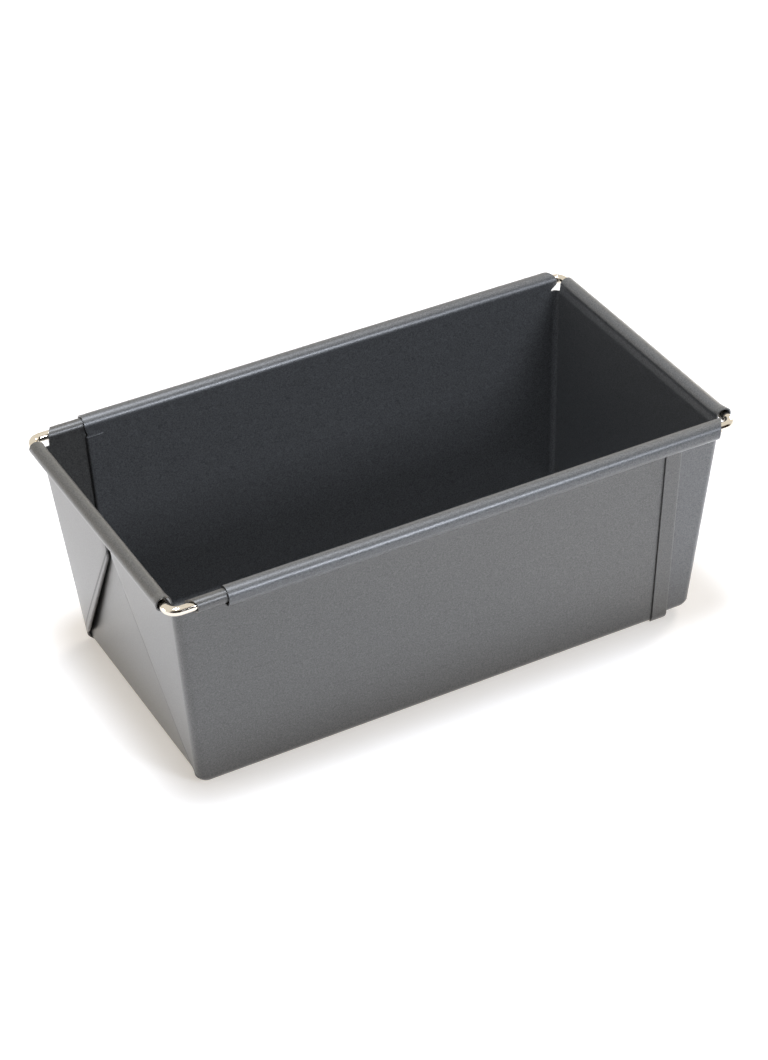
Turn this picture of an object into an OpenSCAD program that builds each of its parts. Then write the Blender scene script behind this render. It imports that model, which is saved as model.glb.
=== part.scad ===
// Adjustable loaf pan: two folded steel halves that slide into one another.
// Each half is one sheet with uncut, envelope-folded corners and one wire in its rolled rim.
// Millimetres, +Z up. +X runs from the outer half's end wall to the inner half's end wall.
// The origin is the middle of the pan as it stands, on the surface under it.

/* [Rims] */
// Length between the centre lines of the two end wires, as the pan stands
rim_len = 200; // [190:1:230]
// Width between the centre lines of the outer half's two side wires
rim_w = 108.8; // [90:0.2:140]
// Height of the wires' centre lines above the underside
rim_h = 77.6; // [60:0.2:95]
// Diameter of the rim wire
wire_d = 3.1; // [2.6:0.1:3.6]
// Gap between the wire and the sheet rolled round it
wire_gap = 0.25; // [0.1:0.05:0.4]
// Radius of the wire's corner bends, on its centre line
wire_bend_r = 3.5; // [2.5:0.1:4.2]
// How far the outer half's sheet is rolled round its wire, in degrees
curl_turn = 275; // [240:5:300]
// How far the inner half's hook turns under the outer half's rim, in degrees
hook_turn = 100; // [60:5:105]
// Straight drop on the outer side of the hook
hook_drop = 0.5; // [0.2:0.1:1]
// Bare wire at a corner, from the side wire's centre line to the end rim's cut
end_notch = 5.1; // [4.5:0.1:7]
// Bare wire at a corner, from the end wire's centre line to the small side rim's cut
side_notch = 7.1; // [6:0.1:9]
// The same for the inner half's hooks
hook_notch = 4.7; // [4.2:0.1:7]
// Slant of the side rims' cut ends, in degrees
notch_slant = 33; // [0:1:40]

/* [Sheet] */
// Thickness of the steel sheet with its coating
sheet_t = 0.5; // [0.4:0.05:0.6]
// Lean of the side walls from upright, in degrees
side_lean = 5.4; // [1:0.1:7]
// Lean of the end walls from upright, in degrees
end_lean = 4.7; // [1:0.1:8]
// Outer radius of the bends under the walls and at the upright corners
bend_r = 3; // [2.4:0.1:4]
// How far the outer half's free edge stops short of the inner half's end wire, as the pan stands
outer_short = 18; // [17.5:0.5:30]
// The same for the inner half's free edge and the outer half's end wire
inner_short = 18.2; // [17.5:0.1:30]
// Width of the hem folded back along each free edge
hem_w = 6; // [4:0.5:9]

/* [Fits] */
// Gap between the inner half and the outer half, at the walls, the floor and the rims
slide_gap = 0.3; // [0.2:0.05:0.4]
// Gap left between two layers of a fold
fold_gap = 0.1; // [0.05:0.01:0.2]
// Gap between the tips of the two flaps on an end wall
tip_gap = 3; // [1:0.5:6]
// How far the far flap of the outer half springs off the end wall
far_lift = 1.8; // [0.4:0.1:2.4]
// The same for the other three flaps
near_lift = 0.4; // [0.1:0.1:1]
// Length of the inner half's wire legs, from the end wire's centre line
leg_len = 10.2; // [8:0.2:10.5]

/* [Hidden] */

wire_r = wire_d / 2;
curl_in = wire_r + wire_gap;
curl_out = curl_in + sheet_t;
hook_in = curl_out + slide_gap;
hook_out = hook_in + sheet_t;
pitch = sheet_t + fold_gap;
// What the inner half lies inside the outer half's outer faces
nest = sheet_t + slide_gap;
// Clearance of a wire's cut end from the end of the rim round it
wire_end_gap = 3 * sheet_t;
// The walls end here and the rims start
wall_top = rim_h - curl_out - slide_gap;
// The hems of the outer half stop under the hooks
outer_hem_top = rim_h - hook_drop - hook_out - slide_gap;

// An uncut corner folds along the line that halves what is left of the blank between its two walls
fold_lean = (90 - side_lean - end_lean) / 2 - side_lean;

// Rows up a bend under a wall, as angles, and up a flap, as shares of its height
bend_steps = 4;
arc_steps = 6;
fold_steps = 4;
curl_steps = 24;
// A curl starts this far round its wire, where the wall runs into it
curl_start = 190;
row_shares = [0, 0.05, 0.12, 0.24, 0.42, 0.62, 0.82, 1];
// The folds open to their full spread over this share of the flap's height
spread_share = 0.12;
// The hems end at this step down the bend, half-way round it
hem_low_step = bend_steps / 2;

// Outer face of a side wall, from the middle, at height z
function side_at(z) = rim_w / 2 - curl_in - (rim_h - z) * tan(side_lean);

// Outer face of an end wall, from the middle, at height z; its flaps lie between it and the end wire
function end_at(z) = rim_len / 2 - curl_in - 2 * pitch - (rim_h - z) * tan(end_lean);

// The two faces of the sheet at a centre-line point p with normal angle a in plan
function plan_pair(p, a, z) = [for (s = [-1, 1]) [p.x + s * sheet_t / 2 * cos(a), p.y + s * sheet_t / 2 * sin(a), z]];

function mirror_y(pairs) = [for (pair = pairs) [for (p = pair) [p.x, -p.y, p.z]]];
function backwards(list) = [for (i = [len(list) - 1 : -1 : 0]) list[i]];
function both_sides(far, near) = concat(far, backwards(mirror_y(near)));

// A four-sided face as two triangles, split along its shorter diagonal so that folded layers stay parallel
function split(quad, points) =
    norm(points[quad[0]] - points[quad[2]]) < norm(points[quad[1]] - points[quad[3]])
        ? [[quad[0], quad[1], quad[2]], [quad[0], quad[2], quad[3]]]
        : [[quad[0], quad[1], quad[3]], [quad[1], quad[2], quad[3]]];

// Bent sheet through rows of stations, each station a pair of points on its inner and outer face.
// Rows go up and stations go round by +Y, -X and -Y. The cut edges close it into one solid.
module bent_sheet(rows) {
    n = len(rows);
    m = len(rows[0]);
    function at(face, i, j) = (face * n + i) * m + j;
    points = [for (face = [0, 1], row = rows, pair = row) pair[face]];
    inner = [for (i = [0 : n - 2], j = [0 : m - 2]) [at(0, i, j), at(0, i, j + 1), at(0, i + 1, j + 1), at(0, i + 1, j)]];
    outer = [for (quad = inner) [for (k = backwards(quad)) k + n * m]];
    ends = [for (i = [0 : n - 2], j = [0, m - 1]) let (
            quad = [at(0, i, j), at(0, i + 1, j), at(1, i + 1, j), at(1, i, j)]
        ) j == 0 ? quad : backwards(quad)];
    edges = [for (i = [0, n - 1], j = [0 : m - 2]) let (
            quad = [at(0, i, j), at(0, i, j + 1), at(1, i, j + 1), at(1, i, j)]
        ) i == 0 ? backwards(quad) : quad];
    polyhedron(points, [for (quad = concat(inner, outer, ends, edges), tri = split(quad, points)) tri]);
}

// Half of the U-shaped outline at angle a up the bend under the walls, for one face at radius r.
// The corner swells into an ear as it rises, to carry the folded layers of the flap.
function bend_outline(floor_z, inset, free_x, r, a) = let (
        z = floor_z + bend_r - r * cos(a),
        w = side_at(z) - inset - bend_r + r * sin(a),
        e = end_at(z) - bend_r + r * sin(a),
        c = r * sin(a),
        ear = 2 * pitch * (1 - cos(a))
    ) concat(
        [[free_x, w, z]],
        [for (k = [0 : arc_steps]) let (b = 90 + 90 * k / arc_steps) [-e - ear + c + c * cos(b), w - c + c * sin(b), z]],
        [[-e, w - c - ear - fold_gap, z]]
    );

function bend_row(floor_z, inset, free_x, a) = let (
        inner = bend_outline(floor_z, inset, free_x, bend_r - sheet_t, a),
        outer = bend_outline(floor_z, inset, free_x, bend_r, a),
        half = [for (i = [0 : len(outer) - 1]) [inner[i], outer[i]]]
    ) both_sides(half, half);

// Half of the sheet's path round the pan at height z: side wall, upright corner, flap out to its fold,
// back to the corner under itself, and into the end wall
function pleat(floor_z, inset, free_x, lift, z) = let (
        foot = floor_z + bend_r,
        up = (z - foot) / (wall_top - foot),
        w = side_at(z) - inset,
        e = end_at(z),
        x1 = -e + sheet_t / 2,
        x2 = x1 - pitch,
        x3 = x2 - pitch,
        corner = [x3 - sheet_t / 2 + bend_r, w - bend_r],
        off = lift * min(1, up / spread_share) * (1 - up),
        edge_y = max(tip_gap / 2, side_at(floor_z) - inset - (z - floor_z) * tan(fold_lean)),
        fold_y = min(corner.y - fold_gap, edge_y + (pitch + sheet_t) / 2),
        r = bend_r - sheet_t / 2
    ) concat(
        [plan_pair([free_x, w - sheet_t / 2], 90, z)],
        [for (k = [0 : arc_steps]) let (b = 90 + 90 * k / arc_steps) plan_pair(corner + r * [cos(b), sin(b)], b, z)],
        [for (k = [0 : fold_steps]) let (b = 180 + 180 * k / fold_steps)
            plan_pair([x3 + pitch / 2 - off, fold_y] + pitch / 2 * [cos(b), sin(b)], b, z)],
        [for (k = [0 : fold_steps]) let (b = 180 - 180 * k / fold_steps)
            plan_pair([x2 + pitch / 2, corner.y] + pitch / 2 * [cos(b), sin(b)], b + 180, z)]
    );

// One half's floor, bends, walls and folded corners, with its end wall at -X
module tray(floor_z, inset, free_x, lifts) {
    foot = floor_z + bend_r;
    low = bend_row(floor_z, inset, free_x, 0);
    // Floor
    translate([low[1][0].x, -low[0][0].y, floor_z])
        cube([free_x - low[1][0].x, 2 * low[0][0].y, sheet_t]);
    bent_sheet([for (k = [0 : bend_steps]) bend_row(floor_z, inset, free_x, 90 * k / bend_steps)]);
    bent_sheet([for (share = row_shares) let (z = foot * (1 - share) + wall_top * share)
        both_sides(pleat(floor_z, inset, free_x, lifts[0], z), pleat(floor_z, inset, free_x, lifts[1], z))]);
}

// The line of a hem from the fold at the free edge to its cut edge, as pairs of [x, outwards from the wall].
// dir is 1 where it is folded outwards and -1 where it is folded inwards.
function hem_line(free_x, dir) = let (
        x = free_x - (pitch + sheet_t) / 2
    ) concat(
        [for (k = [0 : fold_steps]) let (b = dir * (180 * k / fold_steps - 90)) [for (s = [-1, 1]) let (
                r = (pitch + dir * s * sheet_t) / 2
            ) [x + r * cos(b), dir * pitch / 2 + r * sin(b)]]],
        [[for (s = [-1, 1]) [free_x - hem_w, dir * pitch + s * sheet_t / 2]]]
    );

// The hems go up the walls to the height top, and down round the bend to stay clear of the floor
module hems(floor_z, inset, free_x, dir, top) {
    foot = floor_z + bend_r;
    line = hem_line(free_x, dir);
    low = [for (k = [hem_low_step : bend_steps]) let (a = 90 * k / bend_steps, r = bend_r - sheet_t / 2)
        [for (pair = line) [for (p = pair)
            [p.x, side_at(foot) - inset - bend_r + (r + p.y) * sin(a), foot - (r + p.y) * cos(a)]]]];
    high = [for (pair = line) [for (p = pair) [p.x, side_at(top) - inset - sheet_t / 2 + p.y, top]]];
    for (m = [0, 1])
        mirror([0, m, 0])
            bent_sheet(concat(low, [high]));
}

// The line of a rolled rim from the wall's top to the cut lip, as [outwards, height, normal angle].
// wall is the middle of the sheet at the wall's top, and axis is the wire's place outwards.
function curl_line(wall, axis) = let (r = curl_in + sheet_t / 2) concat(
    [[wall, wall_top, 180]],
    [for (k = [0 : curl_steps]) let (b = curl_start - curl_turn * k / curl_steps)
        [axis + r * cos(b), rim_h + r * sin(b), b]]
);

function hook_line(wall, axis) = let (r = hook_in + sheet_t / 2) concat(
    [[wall, wall_top, 180]],
    [for (k = [0 : curl_steps]) let (b = 180 - 180 * k / curl_steps) [axis + r * cos(b), rim_h + r * sin(b), b]],
    [for (k = [0 : curl_steps / 2]) let (b = -2 * hook_turn * k / curl_steps)
        [axis + r * cos(b), rim_h + r * sin(b) - hook_drop, b]]
);

// The same line as pairs of points on the two faces of the sheet
function rim_pairs(line) = [for (c = line) [for (s = [1, -1]) let (
        off = s * sheet_t / 2
    ) [c[0] + off * cos(c[2]), c[1] + off * sin(c[2])]]];

// A rolled rim along a side wall, from its free edge to its slanted cut end at -X
module side_rim(line, notch, free_x) {
    for (m = [0, 1])
        mirror([0, m, 0])
            bent_sheet([for (pair = rim_pairs(line)) [for (end = [0, 1]) [for (p = pair)
                [end == 0 ? free_x : notch - rim_len / 2 + (p.x - rim_w / 2) * tan(notch_slant), p.x, p.y]]]]);
}

// The rolled rim along an end wall, cut square at both corners
module end_rim() {
    half = rim_w / 2 - end_notch;
    line = curl_line(end_at(wall_top) - sheet_t / 2, rim_len / 2);
    bent_sheet([for (pair = rim_pairs(line)) [for (y = [half, -half]) [for (p = pair) [-p.x, y, p.y]]]]);
}

// A wire along an end rim at -X, round both corners and into the side rims to free_x
module rim_wire(free_x) {
    straight = rim_w / 2 - wire_bend_r;
    translate([-rim_len / 2, straight, rim_h])
        rotate([90, 0, 0])
            cylinder(r = wire_r, h = 2 * straight, $fn = 48);
    for (m = [0, 1])
        mirror([0, m, 0]) {
            translate([wire_bend_r - rim_len / 2, straight, rim_h])
                rotate([0, 0, 90])
                    rotate_extrude(angle = 90, $fn = 48)
                        translate([wire_bend_r, 0])
                            circle(r = wire_r, $fn = 48);
            translate([wire_bend_r - rim_len / 2, rim_w / 2, rim_h])
                rotate([0, 90, 0])
                    cylinder(r = wire_r, h = free_x - wire_bend_r + rim_len / 2, $fn = 48);
        }
}

module outer_pan_sheet() {
    free_x = rim_len / 2 - outer_short;
    wall = side_at(wall_top) - sheet_t / 2;
    color("dimgray") {
        tray(0, 0, free_x - (pitch + sheet_t) / 2, [far_lift, near_lift]);
        hems(0, 0, free_x, 1, outer_hem_top);
        side_rim(curl_line(wall, rim_w / 2), side_notch, free_x);
        end_rim();
    }
}

module outer_rim_wire() {
    color("silver")
        rim_wire(rim_len / 2 - outer_short - wire_end_gap);
}

module inner_pan_sheet() {
    free_x = rim_len / 2 - inner_short;
    wall = side_at(wall_top) - nest - sheet_t / 2;
    color("dimgray")
        mirror([1, 0, 0]) {
            tray(nest, nest, free_x - (pitch + sheet_t) / 2, [near_lift, near_lift]);
            hems(nest, nest, free_x, -1, wall_top);
            side_rim(hook_line(wall, rim_w / 2), hook_notch, free_x);
            end_rim();
        }
}

module inner_rim_wire() {
    color("silver")
        mirror([1, 0, 0])
            rim_wire(leg_len - rim_len / 2);
}

outer_pan_sheet();
outer_rim_wire();
inner_pan_sheet();
inner_rim_wire();
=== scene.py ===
"""Adjustable loaf pan: two folded steel halves with wires in their rims, dressed for a studio picture."""
import math

import bmesh
import bpy
import numpy as np
from mathutils import Matrix, Vector


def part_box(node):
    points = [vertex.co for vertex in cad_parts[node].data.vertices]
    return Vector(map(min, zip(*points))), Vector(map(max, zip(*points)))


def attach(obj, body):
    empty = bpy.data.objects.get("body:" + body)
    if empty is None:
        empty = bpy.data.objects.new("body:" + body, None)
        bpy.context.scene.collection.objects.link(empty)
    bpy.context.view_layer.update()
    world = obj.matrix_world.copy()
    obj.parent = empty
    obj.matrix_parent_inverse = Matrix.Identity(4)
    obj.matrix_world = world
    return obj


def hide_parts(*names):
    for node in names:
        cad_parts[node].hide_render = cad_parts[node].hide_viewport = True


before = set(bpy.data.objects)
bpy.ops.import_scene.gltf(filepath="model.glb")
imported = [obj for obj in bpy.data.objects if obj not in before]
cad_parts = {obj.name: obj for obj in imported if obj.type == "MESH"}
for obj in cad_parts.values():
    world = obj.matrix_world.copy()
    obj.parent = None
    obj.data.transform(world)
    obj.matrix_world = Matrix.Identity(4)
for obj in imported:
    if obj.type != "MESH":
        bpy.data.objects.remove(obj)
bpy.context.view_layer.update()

# Outer half's sheet
# One blank of half-millimetre steel sheet, bent up into an open-ended tray. Its two corners are folded like
# an envelope, not cut, and lie against the end wall. The whole blank has a dark non-stick coat.
MM = 0.001
SHEET_T = 0.5
SIDE_LEAN = math.radians(5.4)
END_LEAN = math.radians(4.7)
BEND_R = 3.0
FOLD_GAP = 0.1
WIRE_GAP = 0.25
SLIDE_GAP = 0.3
HEM_W = 6.0
TIP_GAP = 3.0
HOOK_DROP = 0.5
NOTCH_SLANT = math.radians(33)
END_NOTCH, SIDE_NOTCH = 5.1, 7.1
RIM_SPREAD_SHARE = 0.35

# Angles in degrees at which the hem and the folds start, up the bend under the walls, and the roll ends
HEM_START, PLEAT_START, CURL_END = 45.0, 50.0, -85.0

# How far a flap springs off the end wall and reaches over, both most at a small share of its height
SHUT_FLAP, SPRUNG_FLAP = (0.4, 0.0), (1.8, 3.0)
SPRING_SHARE = 0.12

# The sprung near end of an end rim: its length, its opening away from the wire and its lift
FLARE_LEN, FLARE_OPEN, FLARE_LIFT = 4.5, 0.25, 0.4

# Slow waves of the sheet: the axis pushed, the depth, the start, and the run along x, y and z for a radian
WAVES = (
    (0, 0.05, 0, (math.inf, 19, 23)),
    (1, 0.06, 1, (27, math.inf, 31)),
    (1, 0.03, 2, (11, math.inf, math.inf)),
    (2, 0.04, 0, (23, 29, math.inf)),
)

# Steps of the grids, and the powers that crowd them at the wall's foot and beside the upright corner
BEND_STEPS, WALL_STEPS, OVER_HEM_STEPS = 14, 59, 3
RIM_STEPS, PAST_RIM_STEPS = 71, 3
FLAP_STEPS, FOLD_STEPS, END_STEPS, HEM_STEPS = 12, 8, 24, 8
RISE_STEPS, CURL_TOP_STEPS, CURL_STEPS = 4, 18, 30
WALL_CROWDING, END_CROWDING = 1.4, 1.8

# Points of a rim's line that round its free lip, and that its sprung end takes to open fully
LIP_POINTS, FLARE_POINTS = 26, 16

# How near points are merged, what rounding may shift, and from what angle an edge is drawn sharp
MERGE_DIST = 0.002
ROUNDING = 1e-6
SHEET_SHARP = math.radians(40)

wire_low, wire_high = (np.array(corner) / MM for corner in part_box("outer_rim_wire"))
WIRE_R = (wire_high[2] - wire_low[2]) / 2
RIM_H = (wire_high[2] + wire_low[2]) / 2
RIM_HALF_W = wire_high[1] - WIRE_R
RIM_HALF_LEN = -wire_low[0] - WIRE_R
OUTER_FREE_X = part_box("outer_pan_sheet")[1].x / MM

PITCH = SHEET_T + FOLD_GAP
CURL_R = WIRE_R + WIRE_GAP + SHEET_T / 2
HOOK_R = CURL_R + SHEET_T + SLIDE_GAP
WALL_TOP = RIM_H - CURL_R - SHEET_T / 2 - SLIDE_GAP
OUTER_HEM_TOP = RIM_H - HOOK_DROP - HOOK_R - SHEET_T / 2 - SLIDE_GAP
FOLD_LEAN = (math.pi / 2 - SIDE_LEAN - END_LEAN) / 2 - SIDE_LEAN


def side_at(z):
    """Outer face of a side wall, from the middle of the pan: it leans out in proportion to height."""
    return RIM_HALF_W - WIRE_R - WIRE_GAP - (RIM_H - z) * math.tan(SIDE_LEAN)


def end_at(z):
    """Outer face of an end wall under its two folded layers, leaning out in proportion to height."""
    return RIM_HALF_LEN - WIRE_R - WIRE_GAP - 2 * PITCH - (RIM_H - z) * math.tan(END_LEAN)


def slanted_cut(out, notch):
    """Where a side rim's slanted cut lies along the pan: its x grows in proportion to the way outwards."""
    return notch - RIM_HALF_LEN + (out - RIM_HALF_W) * math.tan(NOTCH_SLANT)


def smooth(x):
    """Cubic step from 0 to 1: three x squared less two x cubed, held flat outside 0 to 1."""
    x = np.clip(x, 0, 1)
    return x * x * (3 - 2 * x)


def arc(start, stop, steps):
    """Evenly spaced angles from a start to a stop in degrees, as radians."""
    return np.radians(np.linspace(start, stop, steps + 1))


def sheet_rows(nest, hem_top):
    """Rows up the sheet as columns of angle and height: a quarter turn round the bend, then straight up.

    Rows crowd together at the foot of the wall, where the folds start, and one falls on the hem's top.
    """
    angle = arc(0, 90, BEND_STEPS)
    wall_foot = nest + BEND_R
    bend = wall_foot - (BEND_R - SHEET_T / 2) * np.cos(angle)
    wall = wall_foot + (hem_top - wall_foot) * np.linspace(0, 1, WALL_STEPS + 1)[1:] ** WALL_CROWDING
    above = np.linspace(hem_top, WALL_TOP, OVER_HEM_STEPS + 1)[1:]
    height = np.concatenate([bend, wall, above])
    angle = np.concatenate([angle, np.full(len(height) - len(angle), math.pi / 2)])
    return angle[:, None], height[:, None]


def side_shares(edge_x, foot, corner):
    """Shares of the side wall's length for its stations; one falls where the rolled rim's cut end starts."""
    share = (foot - edge_x) / (corner - edge_x)
    along_rim = np.linspace(0, share, RIM_STEPS + 1)
    past_rim = np.linspace(share, 1, PAST_RIM_STEPS + 1)[1:]
    return np.concatenate([along_rim, past_rim])


def half_course(rows, edge_x, nest, shares, flap):
    """Half of the sheet's course round the pan for every row, as an array (row, station, xyz).

    It runs along the side wall, round the upright corner, out to the fold of the flap, back under itself to
    the corner, and along the end wall to its middle. The two folds are half circles whose radius is half the
    spacing of the layers. In the bend under the walls the folds open out into one slanting line. The flap
    springs off by its lift, and reaches over by a few millimetres more, both most near its foot.
    """
    angle, z = rows
    lift, over = flap
    r = (BEND_R - SHEET_T / 2) * np.sin(angle)
    side_y = side_at(z) - nest - BEND_R + r
    end_x = -(end_at(z) - BEND_R + r)
    swell = 2 * PITCH * (1 - np.cos(angle))
    flap_x = end_x - swell
    layer = swell / 2
    cx, cy = flap_x + r, side_y - r
    wall_foot = nest + BEND_R
    up = np.clip((z - wall_foot) / (WALL_TOP - wall_foot), 0, 1)
    sprung = smooth(up / SPRING_SHARE) * (1 - up)
    off = lift * sprung
    edge = side_at(nest) - nest - (z - nest) * math.tan(FOLD_LEAN) - over * sprung
    fold_y = np.minimum(cy - FOLD_GAP, np.maximum(TIP_GAP / 2, edge) + (PITCH + SHEET_T) / 2)

    side = (edge_x + shares * (cx - edge_x), side_y + 0 * shares)
    b = arc(90, 180, BEND_STEPS)[None, 1:]
    corner = (cx + r * np.cos(b), cy + r * np.sin(b))
    s = np.linspace(0, 1, FLAP_STEPS + 1)[None, 1:]
    out = (flap_x - off * s, cy + (fold_y - cy) * s)
    b = arc(180, 360, FOLD_STEPS)[None, 1:]
    fold = (flap_x + layer / 2 - off + layer / 2 * np.cos(b), fold_y + layer / 2 * np.sin(b))
    back = (flap_x + layer - off * (1 - s), fold_y + (cy - fold_y) * s)
    b = arc(180, 0, FOLD_STEPS)[None, 1:]
    tuck = (end_x - layer / 2 + layer / 2 * np.cos(b), cy + layer / 2 * np.sin(b))
    pleat = [np.concatenate(parts, 1) for parts in zip(out, fold, back, tuck)]
    along = np.linspace(0, 1, pleat[0].shape[1] + 1)[None, 1:]
    slant = (flap_x + swell * along, cy - 2 * PITCH * along)
    closed = smooth((np.degrees(angle) - PLEAT_START) / (90 - PLEAT_START))
    pleat = [line + (folded - line) * closed for line, folded in zip(slant, pleat)]
    s = np.linspace(0, 1, END_STEPS + 1)[None, 1:] ** END_CROWDING
    end = (end_x + 0 * s, pleat[1][:, -1:] * (1 - s))
    x, y = (np.concatenate(parts, 1) for parts in zip(side, corner, pleat, end))
    return np.stack([x, y, z + 0 * x], -1)


def curl_line(wall, axis):
    """Middle of a rolled rim as (outwards, height): a straight rise, a quarter ellipse, then round the wire.

    The ellipse is as high as the roll's radius. It is wider, by a share of how much further in than that the
    wall lies.
    """
    wide = CURL_R + RIM_SPREAD_SHARE * (axis - wall - CURL_R)
    b = arc(180, 90, CURL_TOP_STEPS)
    over = np.stack([axis + wide * np.cos(b), RIM_H + CURL_R * np.sin(b)], -1)
    b = arc(90, CURL_END, CURL_STEPS)[1:]
    under = np.stack([axis + CURL_R * np.cos(b), RIM_H + CURL_R * np.sin(b)], -1)
    rise = np.linspace([wall, WALL_TOP], over[0], RISE_STEPS + 1)[:-1]
    return np.concatenate([rise, over, under])


def side_rim(line, edge_x, free_x, foot, notch, lip_r):
    """Rolled rim along a side wall: every point of the line carried from the free edge to the slanted cut.

    Over the rise, both ends shift from the wall's edges to the rim's own by a cubic step. The free lip's
    corner at the cut is rounded: it draws back by a quarter circle over the lip's last points.
    """
    out, height = line[:, :1], line[:, 1:]
    lip = np.clip((np.arange(len(line)) - len(line) + LIP_POINTS) / (LIP_POINTS - 1), 0, 1)[:, None]
    cut = slanted_cut(out, notch) + lip_r * (1 - np.sqrt(1 - lip * lip))
    rise = smooth(np.arange(len(line)) / RISE_STEPS)[:, None]
    cut = foot + (cut - foot) * rise
    start = edge_x + (free_x - edge_x) * rise
    x = start + np.linspace(0, 1, RIM_STEPS + 1)[None] * (cut - start)
    return np.stack([x, out + 0 * x, height + 0 * x], -1)


def end_rim(line, y):
    """Rolled rim along the end wall: the line's points carried across, drawn in to its square cut ends.

    At the near end the roll springs open: its points move away from the wire and up over the last few
    millimetres, by a cubic step along the rim times one from the wall to near the top of the roll.
    """
    out, height = line[:, :1], line[:, 1:]
    count = np.arange(len(line))[:, None]
    half = RIM_HALF_W - END_NOTCH
    y = y[None] * (1 + (half / abs(y[0]) - 1) * smooth(count / RISE_STEPS))
    spring = smooth(1 - (half + y) / FLARE_LEN) * smooth(count / FLARE_POINTS)
    out = out + (out - RIM_HALF_LEN) / CURL_R * FLARE_OPEN * spring
    height = height + ((height - RIM_H) / CURL_R * FLARE_OPEN + FLARE_LIFT) * spring
    return np.stack([-out + 0 * y, y, height + 0 * y], -1)


def hem(rows, wall, free_x, direction):
    """Edge folded back on the wall: a half circle of half the layer spacing, then flat for the hem's width.

    The fold lies outwards or inwards of the wall along the row's own normal, so it follows the bend below.
    """
    angle, z = rows
    b = arc(-90, 90, FOLD_STEPS)
    flat = np.linspace(wall[0, 0], free_x - HEM_W, HEM_STEPS + 1)[1:]
    line_x = np.concatenate([wall[0, 0] + PITCH / 2 * np.cos(b), flat])
    line_d = direction * np.concatenate([PITCH / 2 * (1 + np.sin(b)), np.full(HEM_STEPS, PITCH)])
    y = wall[:, 1:2] + line_d[None] * np.sin(angle)
    return np.stack([line_x[None] + 0 * y, y, z - line_d[None] * np.cos(angle)], -1)


def flip(grid):
    """The same grid on the other side of the pan, mirrored across its long axis."""
    return grid * [1, -1, 1]


def tray_patches(free_x, nest, hem_direction, hem_top, notch, rim, lip_r, flaps):
    """The whole half with its end wall at -X, as grids that share their edges: walls, floor, rims and hems.

    A side rim's cut end meets the wall on the slanted cut, but never in the upright corner's bend.
    """
    rows = sheet_rows(nest, hem_top)
    angle, z = (column[:, 0] for column in rows)
    wall = side_at(WALL_TOP) - nest - SHEET_T / 2
    corner = -end_at(WALL_TOP) - 2 * PITCH + BEND_R
    foot = max(slanted_cut(wall, notch), corner + PITCH)
    edge_x = free_x - (PITCH + SHEET_T) / 2
    shares = side_shares(edge_x, foot, corner)
    n = len(shares)

    far, near = (half_course(rows, edge_x, nest, shares[None], flap) for flap in flaps)
    near = flip(near)
    walls = np.concatenate([far, near[:, -2::-1]], 1)
    floor_y = np.concatenate([far[0, :1, 1], far[0, n:, 1], near[0, -2:n:-1, 1], near[0, :1, 1]])
    floor = np.stack(np.broadcast_arrays(far[0, :n, 0][:, None], floor_y[None], z[0]), -1)
    middle = far.shape[1] - 1
    end_y = walls[-1, middle - END_STEPS:middle + END_STEPS + 1, 1]
    end = end_rim(curl_line(end_at(WALL_TOP) - SHEET_T / 2, RIM_HALF_LEN), end_y)

    low = np.searchsorted(angle, math.radians(HEM_START) - ROUNDING)
    high = np.searchsorted(z, hem_top - ROUNDING) + 1
    side = [side_rim(rim(wall, RIM_HALF_W), edge_x, free_x, foot, notch, lip_r),
            hem([column[low:high] for column in rows], far[low:high, 0], free_x, hem_direction)]
    return [walls, floor, end, *side, *(flip(grid) for grid in side)]


def settle(points):
    """Folded sheet is never quite flat: slow sines push each axis by a few hundredths of a millimetre.

    They fade out from the rim to the floor by a cubic step.
    """
    push = np.zeros_like(points)
    for axis, depth, start, runs in WAVES:
        push[:, axis] += depth * np.sin((points / runs).sum(1) + start)
    return points + push * smooth(points[:, 2:] / RIM_H)


def quads(grid, first=0):
    """Faces of a grid as the numbers of their four corners, whose points are numbered on from the first."""
    rows, cols = grid.shape[:2]
    i = np.arange(rows - 1)[:, None] * cols + np.arange(cols - 1)[None] + first
    return np.stack([i, i + 1, i + cols + 1, i + cols], -1).reshape(-1, 4)


def joined_mesh(name, points, faces):
    """A mesh whose points are merged where its grids meet, and whose faces all turn the same way."""
    mesh = bpy.data.meshes.new(name)
    mesh.from_pydata(points.tolist(), [], faces.tolist())
    work = bmesh.new()
    work.from_mesh(mesh)
    bmesh.ops.remove_doubles(work, verts=work.verts, dist=MERGE_DIST * MM)
    bmesh.ops.dissolve_degenerate(work, edges=work.edges, dist=MERGE_DIST / 2 * MM)
    bmesh.ops.recalc_face_normals(work, faces=work.faces)
    work.to_mesh(mesh)
    work.free()
    return mesh


def placed(name, data):
    """A new object of the data, at the origin of the scene."""
    thing = bpy.data.objects.new(name, data)
    bpy.context.scene.collection.objects.link(thing)
    return thing


def sheet_piece(name, patches, mirrored):
    """One closed sheet: the grids are joined along their shared edges and thickened evenly to both sides."""
    faces, first = [], 0
    for grid in patches:
        faces.append(quads(grid, first))
        first += grid[..., 0].size
    points = settle(np.concatenate([grid.reshape(-1, 3) for grid in patches])) * MM
    if mirrored:
        points[:, 0] *= -1
    piece = placed(name, joined_mesh(name, points, np.concatenate(faces)))
    thick = piece.modifiers.new("thickness", "SOLIDIFY")
    thick.thickness = SHEET_T * MM
    thick.offset = 0
    thick.use_even_offset = False
    solid = bpy.data.meshes.new_from_object(piece.evaluated_get(bpy.context.evaluated_depsgraph_get()))
    piece.modifiers.clear()
    piece.data = solid
    solid.name = name
    solid.shade_smooth()
    solid.set_sharp_from_angle(angle=SHEET_SHARP)
    return piece


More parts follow.
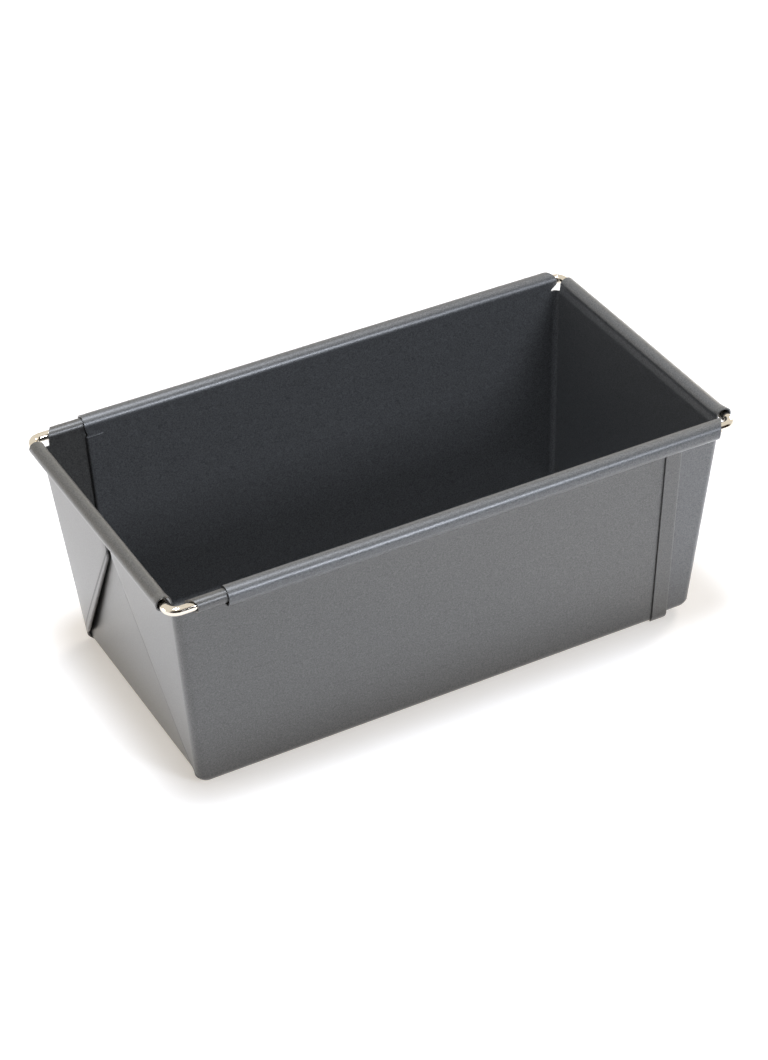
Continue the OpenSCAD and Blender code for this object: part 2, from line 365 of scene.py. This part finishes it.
def linear(code):
    """An sRGB hex colour as linear red, green, blue and alpha."""
    srgb = np.array([int(code[i:i + 2], 16) for i in (1, 3, 5)]) / 255
    rgb = np.where(srgb <= 0.04045, srgb / 12.92, ((srgb + 0.055) / 1.055) ** 2.4)
    return (*rgb, 1.0)


def add(tree, kind, inputs=None, **settings):
    """Adds one node with its settings; an input is either a value or a socket to link from."""
    node = tree.nodes.new(kind)
    for name, value in settings.items():
        setattr(node, name, value)
    for name, value in (inputs or {}).items():
        if isinstance(value, bpy.types.NodeSocket):
            tree.links.new(value, node.inputs[name])
        else:
            node.inputs[name].default_value = value
    return node


def new_material(name):
    """An empty material and its node tree."""
    material = bpy.data.materials.new(name)
    material.use_nodes = True
    material.node_tree.nodes.clear()
    return material, material.node_tree


# Painted shade along a flap's fold: how far out from the side wall's foot it lies, its width and its
# darkness
CREASE_IN, CREASE_W, FOLD_SHADE_DARK = 0.7, 1.0, 0.6
FLAKE_W, FLAKE_DEPTH = 0.45, 0.05
FLAKE_SPREAD = (0.36, 0.64)


def painted_fold_shade_mask(tree, place):
    """1 along the outer edge of a folded flap and 0 elsewhere: where shade is painted in as a thin dark
    line.

    The edge runs straight up an end wall: its y falls with height by the tangent of the fold's lean. The
    flaps lie outside the end wall, whose x grows in proportion to height, so the inside gets none of it.
    """
    axis = add(tree, "ShaderNodeSeparateXYZ", {"Vector": place})
    y = add(tree, "ShaderNodeMath", {0: axis.outputs["Y"]}, operation="ABSOLUTE")
    line = add(tree, "ShaderNodeMath", {
        0: axis.outputs["Z"], 1: math.tan(FOLD_LEAN), 2: y.outputs[0]}, operation="MULTIPLY_ADD")
    near = add(tree, "ShaderNodeMath", {
        0: line.outputs[0], 1: (side_at(0) + CREASE_IN) * MM, 2: CREASE_W / 2 * MM}, operation="COMPARE")
    x = add(tree, "ShaderNodeMath", {0: axis.outputs["X"]}, operation="ABSOLUTE")
    end = add(tree, "ShaderNodeMath", {
        0: axis.outputs["Z"], 1: -math.tan(END_LEAN), 2: x.outputs[0]}, operation="MULTIPLY_ADD")
    outside = add(tree, "ShaderNodeMath", {
        0: end.outputs[0], 1: (end_at(0) + PITCH) * MM}, operation="GREATER_THAN")
    both = add(tree, "ShaderNodeMath", {0: near.outputs[0], 1: outside.outputs[0]}, operation="MULTIPLY")
    return both.outputs[0]


def nonstick_steel(name, dark, light):
    """Dark grey non-stick coat, sprayed on steel and baked: resin with some metal flake under a satin skin.

    The skin gives the soft gloss, stronger at a slant, and the flakes give a fine mottled grain. Along each
    flap's fold a thin dark line of painted shade is laid in, without the skin's gloss.
    """
    material, tree = new_material(name)
    place = add(tree, "ShaderNodeTexCoord").outputs["Object"]
    # Real flakes are under 0.1 mm wide; they are drawn coarser so that the grain shows.
    grain = add(tree, "ShaderNodeTexNoise", {
        "Vector": place, "Scale": 1 / (FLAKE_W * MM), "Detail": 3.0, "Roughness": 0.7})
    ramp = add(tree, "ShaderNodeValToRGB", {"Fac": grain.outputs["Fac"]})
    for stop, position, code in zip(ramp.color_ramp.elements, FLAKE_SPREAD, (dark, light)):
        stop.position, stop.color = position, linear(code)
    # Painted shade: a thin dark line along each flap's fold, standing for the shadow of the fold's step
    painted_shade = add(tree, "ShaderNodeMath", {0: painted_fold_shade_mask(tree, place), 1: FOLD_SHADE_DARK}, operation="MULTIPLY")
    colour = add(tree, "ShaderNodeMix", {
        "Factor": painted_shade.outputs[0], "A": ramp.outputs["Color"], "B": linear("#000000")}, data_type="RGBA")
    gloss = add(tree, "ShaderNodeMapRange", {"Value": painted_shade.outputs[0], "To Min": 1.0, "To Max": 0.0})
    bump = add(tree, "ShaderNodeBump", {
        "Height": grain.outputs["Fac"], "Strength": 0.12, "Distance": FLAKE_DEPTH * MM})
    shader = add(tree, "ShaderNodeBsdfPrincipled", {
        "Base Color": colour.outputs["Result"], "Metallic": 0.3, "Roughness": 0.42,
        "Coat Weight": gloss.outputs["Result"], "Coat Roughness": 0.35, "Normal": bump.outputs["Normal"]})
    add(tree, "ShaderNodeOutputMaterial", {"Surface": shader.outputs["BSDF"]})
    return material


outer_patches = tray_patches(
    OUTER_FREE_X, nest=0.0, hem_direction=1, hem_top=OUTER_HEM_TOP, notch=SIDE_NOTCH, rim=curl_line,
    lip_r=0.0, flaps=(SPRUNG_FLAP, SHUT_FLAP))
outer_sheet = sheet_piece("outer_half_sheet", outer_patches, mirrored=False)
outer_sheet.data.materials.append(nonstick_steel("nonstick_flake_coat", "#272725", "#535250"))
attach(outer_sheet, "outer_half")
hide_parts("outer_pan_sheet")

# Outer half's rim wire
# Hard steel wire, nickel-plated bright and bent to a U. The rims are rolled round it, so that only its two
# corners show.
WIRE_BEND_R = 3.5
WIRE_END_GAP = 1.5
WIRE_CHAMFER = 0.25
WIRE_SHARP = math.radians(35)
WIRE_END_STEPS, WIRE_BEND_STEPS, WIRE_LEG_STEPS, WIRE_ROUND_STEPS = 8, 16, 39, 32
PLATE_WAVE_W, PLATE_WAVE_DEPTH = 1.5, 0.05


def wire_course(leg):
    """Middle of the wire from the near leg's end to the far one's: straight runs and quarter circles."""
    b = arc(180, 90, WIRE_BEND_STEPS)
    cx, cy = WIRE_BEND_R - RIM_HALF_LEN, RIM_HALF_W - WIRE_BEND_R
    bend = np.stack([cx + WIRE_BEND_R * np.cos(b), cy + WIRE_BEND_R * np.sin(b)], -1)
    end = np.linspace([-RIM_HALF_LEN, 0], bend[0], WIRE_END_STEPS + 1)[:-1]
    side = np.linspace(bend[-1], [leg, RIM_HALF_W], WIRE_LEG_STEPS + 1)[1:]
    far = np.concatenate([end, bend, side])
    return np.concatenate([far[:0:-1] * [1, -1], far])


def wire_piece(name, leg, mirrored):
    """Round section carried along the wire's course, closed by a flat cut with a chamfer at each end."""
    course = wire_course(leg)
    along = np.gradient(course, axis=0)
    along /= np.linalg.norm(along, axis=1, keepdims=True)
    course, along = (np.pad(line, ((2, 2), (0, 0)), "edge") for line in (course, along))
    radius = np.full((len(course), 1), WIRE_R)
    radius[[0, -1]] = 0
    radius[[1, -2]] = WIRE_R - WIRE_CHAMFER
    course[2] += along[2] * WIRE_CHAMFER
    course[-3] -= along[-3] * WIRE_CHAMFER
    across = np.stack([-along[:, 1], along[:, 0]], -1)
    angle = np.linspace(0, 2 * math.pi, WIRE_ROUND_STEPS + 1)[None]
    level = course[:, None] + (radius * np.cos(angle))[..., None] * across[:, None]
    height = RIM_H + radius * np.sin(angle)
    grid = np.concatenate([level, height[..., None]], -1) * MM
    if mirrored:
        grid[..., 0] *= -1
    mesh = joined_mesh(name, grid.reshape(-1, 3), quads(grid))
    mesh.shade_smooth()
    mesh.set_sharp_from_angle(angle=WIRE_SHARP)
    return placed(name, mesh)


def plated_wire():
    """Bright nickel, plated on drawn steel wire: a warm white metal that mirrors what stands round it.

    The plating is a little uneven, in patches a millimetre or two wide that break the reflections up.
    """
    material, tree = new_material("bright_nickel_plate")
    place = add(tree, "ShaderNodeTexCoord").outputs["Object"]
    wear = add(tree, "ShaderNodeTexNoise", {
        "Vector": place, "Scale": 1 / (PLATE_WAVE_W * MM), "Detail": 4.0})
    rough = add(tree, "ShaderNodeMapRange", {"Value": wear.outputs["Fac"], "To Min": 0.05, "To Max": 0.14})
    bump = add(tree, "ShaderNodeBump", {
        "Height": wear.outputs["Fac"], "Strength": 0.3, "Distance": PLATE_WAVE_DEPTH * MM})
    shader = add(tree, "ShaderNodeBsdfPrincipled", {
        "Base Color": linear("#e4dccf"), "Metallic": 1.0, "Roughness": rough.outputs["Result"],
        "Normal": bump.outputs["Normal"]})
    add(tree, "ShaderNodeOutputMaterial", {"Surface": shader.outputs["BSDF"]})
    return material


nickel = plated_wire()
outer_wire = wire_piece("outer_half_wire", OUTER_FREE_X - WIRE_END_GAP, mirrored=False)
outer_wire.data.materials.append(nickel)
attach(outer_wire, "outer_half")
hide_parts("outer_rim_wire")

# Inner half's sheet
# The same blank folded a little narrower, so that it lies 0.3 mm inside and above the outer half. Its sides
# are not rolled shut but hooked over the outer half's rims, which they run along. Its coat is drawn a shade
# lighter and cooler than the outer half's: painted light, for the light that this half's walls catch.
NEST = SHEET_T + SLIDE_GAP
INNER_FREE_X = -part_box("inner_pan_sheet")[0].x / MM
HOOK_TURN, HOOK_NOTCH, HOOK_LIP_R = 100.0, 4.7, 4.0
HOOK_TOP_STEPS, HOOK_STEPS = 36, 18


def hook_line(wall, axis):
    """Middle of a hook as (outwards, height): a half circle over the other rim, a short drop, a turn in."""
    b = arc(180, 0, HOOK_TOP_STEPS)
    over = np.stack([axis + HOOK_R * np.cos(b), RIM_H + HOOK_R * np.sin(b)], -1)
    b = arc(0, -HOOK_TURN, HOOK_STEPS)
    under = np.stack([axis + HOOK_R * np.cos(b), RIM_H - HOOK_DROP + HOOK_R * np.sin(b)], -1)
    rise = np.linspace([wall, WALL_TOP], over[0], RISE_STEPS + 1)[:-1]
    return np.concatenate([rise, over, under])


inner_patches = tray_patches(
    INNER_FREE_X, nest=NEST, hem_direction=-1, hem_top=WALL_TOP - SHEET_T, notch=HOOK_NOTCH, rim=hook_line,
    lip_r=HOOK_LIP_R, flaps=(SHUT_FLAP, SHUT_FLAP))
inner_sheet = sheet_piece("inner_half_sheet", inner_patches, mirrored=True)
# Painted light: coat colours lighter and cooler than the outer half's stand for the light on this half's
# walls
inner_sheet.data.materials.append(nonstick_steel("painted_lighter_flake_coat", "#2f3031", "#5a5b5c"))
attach(inner_sheet, "inner_half")
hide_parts("inner_pan_sheet")

# Inner half's rim wire
# The same plated wire, but its legs are short: they stop in the hooks so that the outer half's rims can come
# up to them.
LEG_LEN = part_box("inner_rim_wire")[1].x / MM - WIRE_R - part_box("inner_rim_wire")[0].x / MM
inner_wire = wire_piece("inner_half_wire", LEG_LEN - RIM_HALF_LEN, mirrored=True)
inner_wire.data.materials.append(nickel)
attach(inner_wire, "inner_half")
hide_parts("inner_rim_wire")

# Camera
# A long lens from the front left, looking down on the pan, turned very slightly on its axis.
AZIMUTH, ELEVATION, ROLL = (math.radians(v) for v in (-26.76, 35.32, -2.38))
CAMERA_PLACE = np.array([-359.72, -713.05, 604.55])
FOCAL_PX, FRAME_H_PX, SENSOR = 2955.83, 1060, 36.0

level = math.cos(ELEVATION)
back = np.array([math.sin(AZIMUTH) * level, -math.cos(AZIMUTH) * level, math.sin(ELEVATION)])
right = np.array([math.cos(AZIMUTH), math.sin(AZIMUTH), 0.0])
up = np.cross(back, right)
turned_right = right * math.cos(ROLL) + up * math.sin(ROLL)
turned_up = up * math.cos(ROLL) - right * math.sin(ROLL)
camera = placed("camera", bpy.data.cameras.new("camera"))
camera.data.sensor_width = SENSOR
camera.data.lens = FOCAL_PX / FRAME_H_PX * SENSOR
camera.data.clip_end = 20
camera.matrix_world = Matrix.Translation(Vector(CAMERA_PLACE * MM)) @ Matrix(
    np.stack([turned_right, turned_up, back], 1).tolist()).to_4x4()
bpy.context.scene.camera = camera

# Studio
# A white table in a white sweep. A soft light hangs over the pan, a smaller one stands at the front right, a
# weak one at the back right, and a card close to the table throws light on the left end.
FLOOR_REACH = 3.0
TABLE_WHITE, TABLE_LIFT = 0.67, 0.46
AIM = Vector((0, 0, 0.04))
SWEEP_LEVEL, ROOM_LEVEL = 0.9, 0.17

# The sweep's dark opening: an axis of the ray, where the opening starts and where it is full
OPENING = (("Y", -0.3, -0.6), ("Z", 0.8, 0.6))


def shown_to_eye_and_gloss(tree):
    """1 for rays of the camera, of reflections and through glass, 0 for light that the scene scatters."""
    path = add(tree, "ShaderNodeLightPath")
    either = add(tree, "ShaderNodeMath", {
        0: path.outputs["Is Camera Ray"], 1: path.outputs["Is Glossy Ray"]}, operation="MAXIMUM")
    shown = add(tree, "ShaderNodeMath", {
        0: either.outputs[0], 1: path.outputs["Is Transmission Ray"]}, operation="MAXIMUM")
    return shown.outputs[0]


def white_table():
    """Matt white table that keeps the pan's shadow; what the eye and gloss see of it is lifted to white."""
    material, tree = new_material("white_table")
    glow = add(tree, "ShaderNodeMath", {
        0: shown_to_eye_and_gloss(tree), 1: TABLE_LIFT}, operation="MULTIPLY")
    matt = add(tree, "ShaderNodeBsdfDiffuse", {"Color": (TABLE_WHITE, TABLE_WHITE, TABLE_WHITE, 1)})
    lift = add(tree, "ShaderNodeEmission", {"Color": linear("#fff7ec"), "Strength": glow.outputs[0]})
    both = add(tree, "ShaderNodeAddShader", {0: matt.outputs[0], 1: lift.outputs[0]})
    add(tree, "ShaderNodeOutputMaterial", {"Surface": both.outputs[0]})
    return material


floor_corners = [(x * FLOOR_REACH, y * FLOOR_REACH, 0) for x, y in ((-1, -1), (1, -1), (1, 1), (-1, 1))]
floor_mesh = bpy.data.meshes.new("floor")
floor_mesh.from_pydata(floor_corners, [], [(0, 1, 2, 3)])
floor_mesh.materials.append(white_table())
floor = placed("floor", floor_mesh)


def soft_light(name, place, size, power, colour):
    """A square soft light at a place in metres, facing the pan."""
    lamp = bpy.data.lights.new(name, "AREA")
    lamp.size, lamp.energy, lamp.color = size, power, linear(colour)[:3]
    holder = placed(name, lamp)
    holder.location = place
    holder.rotation_euler = (Vector(place) - AIM).to_track_quat("Z", "Y").to_euler()


soft_light("key_light", (0.28, -0.78, 0.42), 0.18, 4.0, "#eef4ff")
soft_light("top_light", (-0.08, -0.05, 1.3), 0.35, 20, "#eef4ff")
soft_light("left_card", (-0.45, 0.08, 0.09), 0.16, 0.42, "#fff0dc")
soft_light("back_light", (1.0, 0.45, 0.5), 0.3, 8, "#fff4e6")


def studio_world():
    """White sweep, open at the front to a dark room that the bright wire mirrors; it lights the pan evenly.

    The opening is a smooth step in the ray's reach to the front, times one in its height.
    """
    world = bpy.data.worlds.new("studio")
    world.use_nodes = True
    tree = world.node_tree
    tree.nodes.clear()
    ray = add(tree, "ShaderNodeTexCoord").outputs["Generated"]
    way = add(tree, "ShaderNodeSeparateXYZ", {"Vector": ray})
    front, low = (add(tree, "ShaderNodeMapRange", {
        "Value": way.outputs[axis], "From Min": start, "From Max": full}, interpolation_type="SMOOTHSTEP")
        for axis, start, full in OPENING)
    opening = add(tree, "ShaderNodeMath", {
        0: front.outputs["Result"], 1: low.outputs["Result"]}, operation="MULTIPLY")
    seen = add(tree, "ShaderNodeMix", {
        "Factor": opening.outputs[0], "A": linear("#fffaf0"), "B": linear("#2a1d12")}, data_type="RGBA")
    sweep = add(tree, "ShaderNodeBackground", {"Color": seen.outputs["Result"], "Strength": SWEEP_LEVEL})
    room = add(tree, "ShaderNodeBackground", {"Color": linear("#e6efff"), "Strength": ROOM_LEVEL})
    mix = add(tree, "ShaderNodeMixShader", {
        "Fac": shown_to_eye_and_gloss(tree), 1: room.outputs[0], 2: sweep.outputs[0]})
    add(tree, "ShaderNodeOutputWorld", {"Surface": mix.outputs[0]})
    return world


bpy.context.scene.world = studio_world()
bpy.context.scene.view_settings.view_transform = "Standard"
